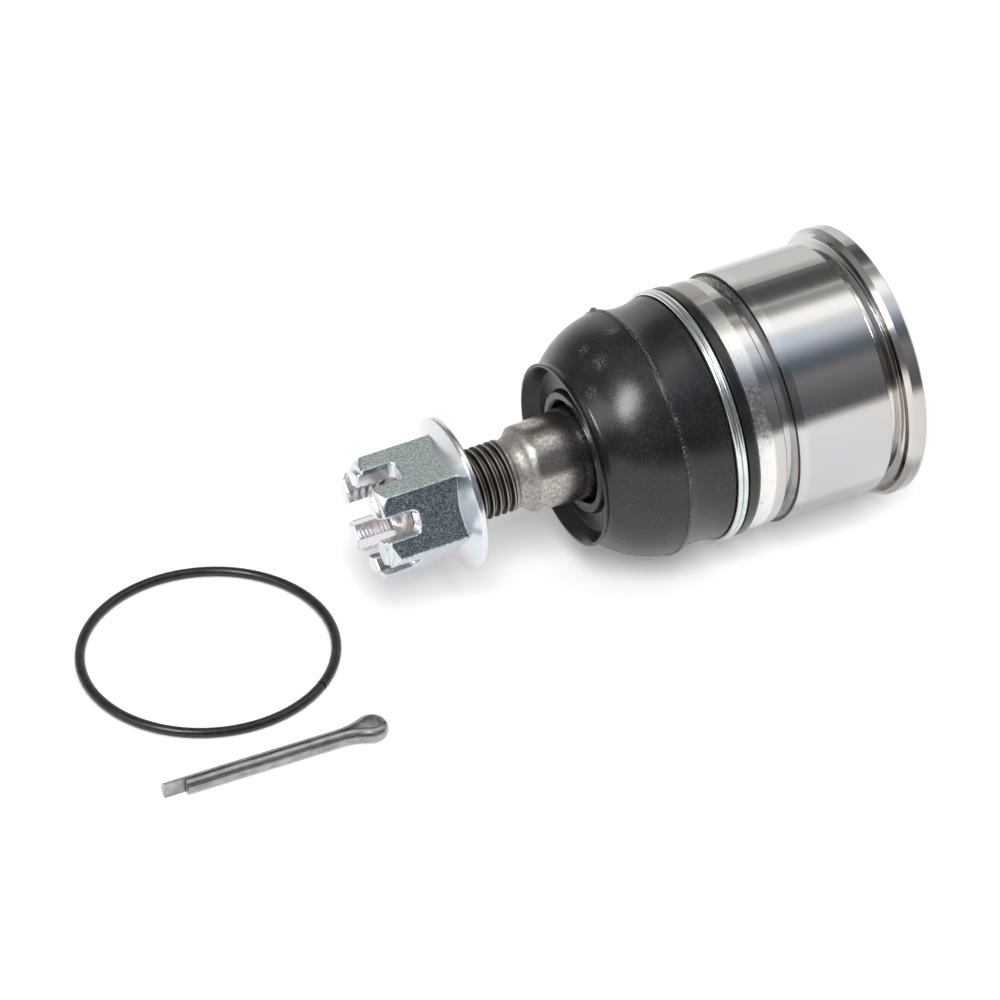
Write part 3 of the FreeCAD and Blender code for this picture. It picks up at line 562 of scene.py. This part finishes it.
acetal, tree = new_material("moulded_acetal")
cloud = noise(tree, frame_place(tree), 220.0, 2.0)
finish_material(acetal, {
    "Base Color": ramp(tree, cloud, [(0.3, colour("e3e0d6")), (0.7, colour("ece9e0"))]),
    "Roughness": 0.42,
    "IOR": 1.48,
})

# %% [markdown]
# ## Zinc plate on the nut
# The nut is cold formed, zinc plated and passivated. Its turned and rounded faces are smooth and pearly,
# with a breath of pink and blue. The six flats are grainy: the crystals of the plating each catch the
# light by themselves. A flat is told from the rest by its normal, which stands square to the axis, and
# by its radius. The flats facing up are painted pale, a painted highlight, and are rough and frosted; the
# ones at the sides are painted darker, closer to a dark mirror with bright specks, which is painted shade;
# and those underneath are smoother. Voronoi
# cells stand for the crystals, since each cell has one tone as each crystal has one tilt. The nut's own
# normal is used, so the finish stays on its flats when the nut turns.

# %% Zinc plate
PITCH = 1.5
FLAT_RADII = (9.6, 12.6)
BORE_RADIUS = 7.25
EDGE_ROUND = 0.45
THREAD_DEPTH = 0.09
# the Wave texture turns its input by this many radians a unit
WAVE_RADIANS = 20
zinc, tree = new_material("zinc_plate")
local = joint_place(tree)
radius = station_and_radius(tree, local)[1]
object_normal = add(tree, "ShaderNodeTexCoord").outputs["Normal"]
towards_axis, upper = (
    add(tree, "ShaderNodeVectorMath", {0: object_normal, 1: turned.to_3x3() @ Vector(drawn)},
        operation="DOT_PRODUCT").outputs["Value"]
    for drawn in ((1, 0, 0), (0, 0, 1))
)
tilt = add(tree, "ShaderNodeMath", {0: towards_axis}, operation="ABSOLUTE").outputs[0]
square_on = remap(tree, tilt, 0.10, 0.02)
facing_up = remap(tree, upper, 0.55, 0.75)
not_underneath = remap(tree, upper, -0.5, -0.2, 0.5)
flats = combine(tree, "MULTIPLY", square_on, combine(tree, "LESS_THAN", radius, FLAT_RADII[1]),
                combine(tree, "GREATER_THAN", radius, FLAT_RADII[0]), not_underneath)
crystals = add(tree, "ShaderNodeTexVoronoi", {"Vector": local, "Scale": 6.5, "Randomness": 1.0})
by_crystal = add(tree, "ShaderNodeSeparateColor", {0: crystals.outputs["Color"]}).outputs
sheen = noise(tree, local, 0.22, 2.0)
pearl = ramp(tree, sheen, [(0.30, colour("d3dde0")), (0.5, colour("dcdcdf")), (0.70, colour("e2d8de"))])
# painted highlight: pale crystal tones for the flats that face up
painted_lit_flat = ramp(tree, by_crystal[0], [
    (0.0, colour("8f9b9b")), (0.6, colour("c2cdcd")), (1.0, colour("eaf1f1")),
])
# painted shade: dark crystal tones for the flats at the sides
painted_shaded_flat = ramp(tree, by_crystal[0], [
    (0.0, colour("5f6f7c")), (0.6, colour("9aaab6")), (1.0, colour("f0f6fa")),
])
flat_rough = remap(tree, facing_up, 0.0, 1.0, 0.14, 0.50)
grains = combine(tree, "MULTIPLY", by_crystal[1], flats)
thread_waves = add(tree, "ShaderNodeTexWave", {
    "Vector": local, "Scale": 2 * math.pi / WAVE_RADIANS / PITCH,
}, wave_type="BANDS", bands_direction="X").outputs["Fac"]
thread_turns = combine(tree, "MULTIPLY", thread_waves, combine(tree, "LESS_THAN", radius, BORE_RADIUS))
rounded = add(tree, "ShaderNodeBevel", {"Radius": EDGE_ROUND * MM}, samples=6).outputs[0]
grainy = bump(tree, grains, 0.35, 0.02 * MM, rounded)
finish_material(zinc, {
    "Metallic": 1.0,
    "Base Color": mix(tree, flats, pearl, mix(tree, facing_up, painted_shaded_flat, painted_lit_flat)),
    "Roughness": remap(tree, flats, 0.0, 1.0, 0.20, flat_rough),
    "Normal": bump(tree, thread_turns, 1.0, THREAD_DEPTH * MM, grainy),
})

# %% [markdown]
# ## Forged and ground stud
# The stud's taper is ground, then handled and oiled: satin, brownish grey and mottled, and duller from the
# shoulder before the thread onwards. The thread is rolled and oily, and its crests are rubbed bright. Its
# flanks are painted dark, partly oil and partly a painted dark reflection, and the rounded root is lighter
# so that it shows its highlight. The radius tells root from crest, and the station tells where the thread
# is.

# %% Stud steel
ROOT_ROUND = 0.22
ROOT_RADIUS = 6.19
CREST_RADIUS = 7.0
THREADED = (76.9, 96.9)
THREAD_FADE = 0.6
DULL_SHOULDER = (71.4, 72.6)
forged, tree = new_material("ground_steel_oiled")
local = joint_place(tree)
station, radius = station_and_radius(tree, local)
mottle = noise(tree, local, 1.5, 6.0, 0.70)
taper_colour = ramp(tree, mottle, [
    (0.30, colour("827c77")), (0.52, colour("aaa49f")), (0.72, colour("c8c3be")),
])
# by radius: a light root, flanks darkened as oil and painted dark reflection, crests rubbed bright
thread_oil_and_painted_light = ramp(tree, remap(tree, radius, ROOT_RADIUS, CREST_RADIUS), [
    (0.0, colour("867e78")),
    (0.10, colour("564f4a")),
    (0.25, colour("312c29")),
    (0.82, colour("3e3935")),
    (0.98, colour("b8b2ac")),
])
on_thread = window(tree, station, THREADED, THREAD_FADE)
satin = remap(tree, mottle, 0.3, 0.7, 0.34, 0.20)
finish_material(forged, {
    "Metallic": 1.0,
    "Base Color": mix(tree, on_thread, taper_colour, thread_oil_and_painted_light),
    "Roughness": combine(tree, "ADD", satin, remap(tree, station, *DULL_SHOULDER, 0.0, 0.26)),
    "Normal": bump(tree, mottle, 0.12, 0.1 * MM),
})

# %% [markdown]
# ## Rubber
# The boot is moulded from black rubber. It is never quite black: the light skims it and leaves a broad
# satin shine, dust and mould marks lighten it here and there, and a bit of bloom dulls it elsewhere. The
# flash at the mould's parting line is thin, and torn and scuffed along its edge, so it shows paler dots.
# In the real joint the boot bends with the stud. Its marks follow an attribute that keeps where each point
# was drawn.

# %% Boot rubber
DRAWN_PLACE = "drawn_place"
DOME_END = 48.0
FLASH_TOP = (24.22, 24.36)
# places of scuffs (station, radius, degrees from the top towards the front), and how far each reaches
SCUFFS = [((60.3, 19.0, 20), 1.6), ((57.5, 21.3, -5), 1.5), ((56.8, 21.7, 9), 2.2), ((51.6, 23.8, -4), 1.8)]
rubber, tree = new_material("moulded_rubber")
local = add(tree, "ShaderNodeAttribute", attribute_name=DRAWN_PLACE).outputs["Vector"]
station, radius = station_and_radius(tree, local)
bloom = noise(tree, local, 0.12, 4.0, 0.6)
skin = noise(tree, local, 5.0, 3.0, 0.6)
dust = noise(tree, local, 2.4, 8.0, 0.8)
torn_dots = remap(tree, noise(tree, local, 2.6, 6.0, 0.75), 0.50, 0.60)
dusty = combine(tree, "MULTIPLY", remap(tree, dust, 0.52, 0.68, 0.0, 0.45),
                remap(tree, bloom, 0.42, 0.62, 0.25, 1.0))
flash = combine(tree, "MULTIPLY", torn_dots, remap(tree, radius, *FLASH_TOP),
                combine(tree, "GREATER_THAN", station, DOME_END))
for (scuff_station, scuff_radius, scuff_turn), reach in SCUFFS:
    scuff_angle = math.radians(scuff_turn)
    middle = (scuff_station, scuff_radius * math.sin(scuff_angle), scuff_radius * math.cos(scuff_angle))
    away = add(tree, "ShaderNodeVectorMath", {0: local, 1: middle}, operation="DISTANCE").outputs["Value"]
    scuffed = combine(tree, "MULTIPLY", remap(tree, away, reach, reach * 0.4), torn_dots)
    dusty = combine(tree, "MAXIMUM", scuffed, dusty)
black_tones = ramp(tree, bloom, [(0.30, colour("0b0c0e")), (0.70, colour("151618"))])
finish_material(rubber, {
    "Base Color": mix(tree, combine(tree, "MAXIMUM", flash, dusty), black_tones, colour("6f6e70")),
    "Roughness": remap(tree, bloom, 0.3, 0.7, 0.23, 0.30),
    "Normal": bump(tree, skin, 0.5, 0.03 * MM),
    "IOR": 1.52,
})

# %% [markdown]
# ## Wires
# Three wires, three finishes: the boot's clip is zinc plated with a faint green, the split pin is plain
# drawn steel with scratches along its length, and the retaining ring is blackened spring wire. The
# scratches are noise stretched along the pin, which costs far less than modelling them.

# %% Wire finishes
bright_wire, tree = new_material("zinc_wire")
cloud = noise(tree, joint_place(tree), 0.3, 2.0)
finish_material(bright_wire, {
    "Metallic": 1.0,
    "Base Color": ramp(tree, cloud, [(0.35, colour("c6d0cb")), (0.65, colour("dddfde"))]),
    "Roughness": 0.20,
})

drawn_wire, tree = new_material("drawn_steel_wire")
place = frame_place(tree)
stretched = add(tree, "ShaderNodeMapping", {"Vector": place, "Scale": (150.0, 3500.0, 3500.0)}).outputs[0]
scratches = noise(tree, stretched, 1.0, 4.0)
blotched = combine(tree, "MULTIPLY", scratches, noise(tree, place, 450.0, 4.0))
finish_material(drawn_wire, {
    "Metallic": 1.0,
    "Base Color": ramp(tree, blotched, [
        (0.15, colour("8a898b")), (0.25, colour("9e9d9f")), (0.36, colour("b0afb0")),
    ]),
    "Roughness": remap(tree, scratches, 0.3, 0.7, 0.24, 0.38),
    "Normal": bump(tree, blotched, 0.25, 0.03 * MM),
})

black_wire, tree = new_material("blackened_spring_wire")
wear = noise(tree, frame_place(tree), 700.0, 5.0)
finish_material(black_wire, {
    "Base Color": ramp(tree, wear, [(0.35, colour("131315")), (0.68, colour("232326"))]),
    "Roughness": remap(tree, wear, 0.3, 0.7, 0.26, 0.38),
})

# %% [markdown]
# ## Dressing the CAD pieces
# The hard pieces already have their shape. Each one only gets its finish in its material slot.

# %% Finishes for the CAD nodes
FINISHES = {
    "housing": steel,
    "cover_plate": plate,
    "preload_washer": plate,
    "boot_collar": plate,
    "rear_seat": acetal,
    "front_seat": acetal,
    "ball_stud": forged,
    "castle_nut": zinc,
    "dust_boot": rubber,
    "boot_clip": bright_wire,
    "cotter_pin": drawn_wire,
    "retaining_ring": black_wire,
}
for name, finish in FINISHES.items():
    data = nodes[name].data
    data.materials.clear()
    data.materials.append(finish)
print("dressed", len(FINISHES), "nodes")

# %% [markdown]
# ## From a drawing to a piece
# A new piece starts as a flat outline of stations and radii. Its sharp corners get a small round, as every
# moulded or turned edge has, and the outline is then spun about the axis. The round comes from beveling
# the corners of a face, which is thrown away afterwards so that only its edge is spun.

# %% Helpers for turned pieces
ARC_STEP = math.radians(5)
CORNER_BEND = math.radians(15)
OUTLINE_WELD = 0.0005


def outline_points(corners):
    """Points through corners (station, radius), or (station, radius, bend) for an arc to the next.

    A positive bend turns left on its way, a negative one right, as in the CAD drawing.
    """
    points = []
    for index, corner in enumerate(corners):
        start = Vector(corner[:2])
        points.append(start)
        if len(corner) == 2:
            continue
        bend = corner[2]
        end = Vector(corners[(index + 1) % len(corners)][:2])
        chord = end - start
        to_left = Vector((-chord.y, chord.x)).normalized()
        side = 1 if bend > 0 else -1
        depth = math.sqrt(bend * bend - (chord.length / 2) ** 2)
        centre = (start + end) / 2 + to_left * depth * side
        sweep = 2 * math.asin(chord.length / 2 / abs(bend)) * side
        steps = max(2, round(abs(sweep) / ARC_STEP))
        spoke = start - centre
        for step in range(1, steps):
            points.append(centre + Matrix.Rotation(sweep * step / steps, 2) @ spoke)
    return points


def spin_outline(corners, steps, corner_round):
    """A closed ring about the X axis, in millimetres, from an outline with its corners rounded."""
    bm = bmesh.new()
    face = bm.faces.new([bm.verts.new((p.x, 0, p.y)) for p in outline_points(corners)])
    sharp = [loop.vert for loop in face.loops if abs(loop.calc_angle() - math.pi) > CORNER_BEND]
    bmesh.ops.bevel(bm, geom=sharp, offset=corner_round, segments=3, affect="VERTICES",
                    profile=0.5, material=-1, clamp_overlap=True)
    bmesh.ops.delete(bm, geom=bm.faces[:], context="FACES_ONLY")
    bmesh.ops.spin(bm, geom=bm.verts[:] + bm.edges[:], cent=(0, 0, 0), axis=(1, 0, 0), dvec=(0, 0, 0),
                   angle=2 * math.pi, steps=steps, use_merge=True)
    bmesh.ops.remove_doubles(bm, verts=bm.verts[:], dist=OUTLINE_WELD)
    bmesh.ops.recalc_face_normals(bm, faces=bm.faces[:])
    return bm


def add_piece(name, bm, material, sharp_degrees=35):
    """Makes a bmesh an object, smooth but for edges sharper than an angle."""
    data = mesh_data(name, bm)
    data.materials.append(material)
    data.shade_smooth()
    data.set_sharp_from_angle(angle=math.radians(sharp_degrees))
    print(name, "has", len(data.polygons), "faces")
    return new_object(name, data)


# %% [markdown]
# ## The stud with its thread
# The CAD stud has a plain cylinder where the thread goes. Its mesh is copied and cut there, and a real
# M14 x 1.5 thread takes the place of the cylinder. One V of the thread is drawn across one pitch, then
# spun with a small step along the axis each time, which winds it into a screw. Its ends are then cut
# square and bevelled. A bump could fake a thread, but its outline would stay straight against the white.

# %% Thread
CREST_FLAT = PITCH / 8
FLANK_SLOPE = math.radians(60)
ROOT_STEPS = 3
THREAD_STEPS = 72
THREAD_WELD = 0.002
CUT_REACH = 1e-5
SCREW_FROM = 76.4
SCREW_TO = 97.5
OVERLAP = 0.03
STUD_BEVEL_FROM = 97.0


def cut_off(bm, station, towards):
    """Removes what lies beyond a station, ahead (1) or behind (-1), and closes the cut."""
    cut = bmesh.ops.bisect_plane(bm, geom=bm.verts[:] + bm.edges[:] + bm.faces[:], dist=CUT_REACH,
                                 plane_co=(station, 0, 0), plane_no=(towards, 0, 0), clear_outer=True)
    edges = [item for item in cut["geom_cut"] if isinstance(item, bmesh.types.BMEdge)]
    bmesh.ops.contextual_create(bm, geom=edges)


root_centre = ROOT_RADIUS + ROOT_ROUND
foot_reach = ROOT_ROUND * math.sin(FLANK_SLOPE)
foot_rise = ROOT_ROUND * (1 - math.cos(FLANK_SLOPE))
flank_run = (CREST_RADIUS - ROOT_RADIUS - foot_rise) / math.tan(FLANK_SLOPE)
profile = [(PITCH / 2 - CREST_FLAT / 2, CREST_RADIUS), (PITCH / 2 + CREST_FLAT / 2, CREST_RADIUS)]
foot = profile[-1][0] + flank_run + foot_reach
for step in range(-ROOT_STEPS, ROOT_STEPS + 1):
    lean = FLANK_SLOPE * step / ROOT_STEPS
    profile.append((foot + ROOT_ROUND * math.sin(lean), root_centre - ROOT_ROUND * math.cos(lean)))
profile.append((profile[0][0] + PITCH, CREST_RADIUS))

thread = bmesh.new()
first_turn = SCREW_FROM - 2 * PITCH
chain = [thread.verts.new((first_turn + x, 0, r)) for x, r in profile]
for start, end in zip(chain, chain[1:]):
    thread.edges.new((start, end))
thread_count = math.ceil((SCREW_TO - first_turn) / PITCH) + 1
bmesh.ops.spin(thread, geom=thread.verts[:] + thread.edges[:], cent=(0, 0, 0), axis=(1, 0, 0),
               dvec=(PITCH / THREAD_STEPS, 0, 0), angle=2 * math.pi * thread_count,
               steps=thread_count * THREAD_STEPS)
bmesh.ops.remove_doubles(thread, verts=thread.verts[:], dist=THREAD_WELD)
cut_off(thread, SCREW_TO, 1)
cut_off(thread, SCREW_FROM - OVERLAP, -1)
for vertex in thread.verts:
    out = math.hypot(vertex.co.y, vertex.co.z)
    most = CREST_RADIUS - max(0, vertex.co.x - STUD_BEVEL_FROM)
    if out > most:
        vertex.co.yz = vertex.co.yz * (most / out)
bmesh.ops.recalc_face_normals(thread, faces=thread.faces[:])
thread_data = mesh_data("thread", thread)
one_turn = profile[-1][0] - profile[0][0]
print("thread: root", ROOT_RADIUS, "crest", CREST_RADIUS, "run of one turn", round(one_turn, 4))

# %% [markdown]
# ## The hole for the split pin
# A hole runs across the stud's end, where the nut's slots come to stand, and the split pin goes through
# both. It is drilled after the thread is rolled, so it cuts through the turns. A Boolean modifier with a
# cylinder does the same here, which is quicker and cleaner than cutting each turn by hand.

# %% Hole for the split pin, cut through the thread
HOLE_STATION = 91.9
HOLE_RADIUS = 1.8
HOLE_TURN = math.radians(22.8)
drill = bmesh.new()
bmesh.ops.create_cone(drill, cap_ends=True, segments=32, radius1=HOLE_RADIUS, radius2=HOLE_RADIUS,
                      depth=3 * CREST_RADIUS)
bmesh.ops.transform(drill, verts=drill.verts[:], matrix=Matrix.Translation((HOLE_STATION, 0, 0))
                    @ Matrix.Rotation(HOLE_TURN, 4, "X") @ Matrix.Rotation(math.pi / 2, 4, "X"))
blank = new_object("thread", thread_data)
cutter = new_object("drill", mesh_data("drill", drill))
bite = blank.modifiers.new("pin_hole", "BOOLEAN")
bite.object = cutter
bite.operation = "DIFFERENCE"
bite.solver = "EXACT"
drilled_data = bpy.data.meshes.new_from_object(blank.evaluated_get(bpy.context.evaluated_depsgraph_get()))
for helper in (blank, cutter):
    bpy.data.objects.remove(helper)
print("thread faces", len(thread_data.polygons), "and drilled", len(drilled_data.polygons))

# %% [markdown]
# ## The stud round its thread
# The ball, the neck and the taper before the thread, and the bevelled end after it, are kept from the CAD
# stud, which has them right. Its mesh is cut twice, once for each end, and the thread goes between the
# two with a small overlap. The three then make one piece that takes the place of the CAD stud.

# %% Stud round the thread
CAD_WELD = 1e-7
stud = bmesh.new()
for cut_station, towards in ((SCREW_FROM, 1), (SCREW_TO - OVERLAP, -1)):
    part = bmesh.new()
    part.from_mesh(nodes["ball_stud"].data)
    bmesh.ops.remove_doubles(part, verts=part.verts[:], dist=CAD_WELD)
    bmesh.ops.transform(part, matrix=LAY.inverted(), verts=part.verts[:])
    cut_off(part, cut_station, towards)
    stud.from_mesh(mesh_data("stud_part", part))
stud.from_mesh(drilled_data)
bmesh.ops.transform(stud, matrix=LAY, verts=stud.verts[:])
stud_piece = add_piece("threaded_stud", stud, forged, sharp_degrees=25)
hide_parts("ball_stud")
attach(stud_piece, "stud_body")

# %% [markdown]
# ## The boot
# The boot is one rubber moulding: a bead and a channel for the clip at its large end, a waist, a thin
# flash ridge where the mould parts, a dome, and a flared lip round a small end that grips the stud.
# Its outline follows the CAD drawing with every corner softened. The edge of the flash is then torn by
# three waves that don't keep step, and one small tag of it stands out.

# %% Boot
BOOT_STEPS = 192
BOOT_ROUND = 0.22
BOOT_OUTLINE = [
    (34.55, 22.95),
    (34.55, 24.0, -0.8),
    (35.35, 24.8),
    (36.95, 24.8),
    (37.05, 23.85),
    (39.6, 23.85),
    (39.65, 24.15, 15.0),
    (48.65, 24.1),
    (48.75, 24.42),
    (49.45, 24.42),
    (49.55, 24.1, -19.0),
    (61.45, 17.85, 1.3),
    (63.35, 18.06),
    (63.6, 18.0),
    (63.6, 17.4),
    (62.3, 16.6),
    (60.5, 15.9),
    (60.5, 12.3),
    (61.7, 11.85),
    (61.7, 10.55),
    (61.25, 10.1),
    (58.5, 10.1),
    (57.7, 9.42),
    (56.9, 9.42),
    (56.9, 10.85),
    (59.35, 10.85),
    (59.35, 12.15),
    (56.9, 12.15),
    (56.9, 14.2),
    (58.8, 15.9, 11.5),
    (49.1, 22.4),
    (44.3, 21.6),
    (42.6, 22.95),
    (39.45, 22.95),
    (39.45, 22.05),
    (36.95, 22.05),
    (36.95, 22.95),
]
FLASH_FROM = 24.2
TEAR_DEPTH = 0.06
TEAR_WAVES = [(23, 0), (57, 1), (91, 2)]
TAG_AT, TAG_WIDTH, TAG_HEIGHT = math.radians(-37), math.radians(2.2), 0.55
boot = spin_outline(BOOT_OUTLINE, BOOT_STEPS, BOOT_ROUND)
tattered = 0
for vertex in boot.verts:
    out = math.hypot(vertex.co.y, vertex.co.z)
    if out < FLASH_FROM or vertex.co.x < DOME_END:
        continue
    at = math.atan2(vertex.co.y, vertex.co.z)
    waves = sum(math.sin(count * at + shift) for count, shift in TEAR_WAVES)
    tear = TEAR_DEPTH * (waves - len(TEAR_WAVES)) / 2
    tag = TAG_HEIGHT * math.exp(-((at - TAG_AT) / TAG_WIDTH) ** 2)
    vertex.co.yz = vertex.co.yz * (1 + (tear + tag) / out)
    tattered += 1
print("flash points moved:", tattered)
drawn_place = boot.verts.layers.float_vector.new(DRAWN_PLACE)
for vertex in boot.verts:
    vertex[drawn_place] = vertex.co
bmesh.ops.transform(boot, matrix=LAY, verts=boot.verts[:])
boot_piece = add_piece("boot", boot, rubber, sharp_degrees=60)
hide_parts("dust_boot")
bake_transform(boot_piece)

# %% [markdown]
# ## The clip
# The clip is a ring of spring wire wound twice. Each turn lies flat for most of its way, and steps
# over to its neighbour's place in one short stretch, so that the two turns stay side by side. The
# section is spun in two kinds of stretch: a flat one, and a short one that moves along the axis.

# %% Clip
CLIP_SEAT = 23.83
CLIP_MIDDLE = 38.3
WIRE_RADIUS = 0.55
WIRE_SIDES = 14
WIRE_PITCH = 1.09
CLIP_TURNS = 2
CLIP_START = math.radians(150)
STEP_ANGLE = math.radians(24)
# how far each stretch goes round, in how many pieces, and how far it moves along the axis
FLAT_STRETCH = (2 * math.pi - STEP_ANGLE, 150, 0)
STEP_STRETCH = (STEP_ANGLE, 12, WIRE_PITCH)
clip = bmesh.new()
bmesh.ops.create_circle(clip, cap_ends=True, radius=WIRE_RADIUS, segments=WIRE_SIDES)
first_station = CLIP_MIDDLE - WIRE_PITCH * (CLIP_TURNS - 1) / 2
on_seat = Matrix.Translation((first_station, 0, CLIP_SEAT + WIRE_RADIUS))
stand = Matrix.Rotation(CLIP_START, 4, "X") @ on_seat @ Matrix.Rotation(math.pi / 2, 4, "X")
bmesh.ops.transform(clip, matrix=stand, verts=clip.verts[:])
section = clip.faces[:]
stretches = [FLAT_STRETCH, STEP_STRETCH] * (CLIP_TURNS - 1) + [FLAT_STRETCH]
for sweep, steps, shift in stretches:
    grown = bmesh.ops.spin(clip, geom=section, cent=(0, 0, 0), axis=(1, 0, 0), dvec=(shift / steps, 0, 0),
                           angle=sweep, steps=steps)
    section = [item for item in grown["geom_last"] if isinstance(item, bmesh.types.BMFace)]
bmesh.ops.recalc_face_normals(clip, faces=clip.faces[:])
bmesh.ops.transform(clip, matrix=LAY, verts=clip.verts[:])
clip_piece = add_piece("wound_clip", clip, bright_wire)
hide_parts("boot_clip")
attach(clip_piece, "housing_body")

# %% [markdown]
# ## The end

# %% Finish
print("scene built")
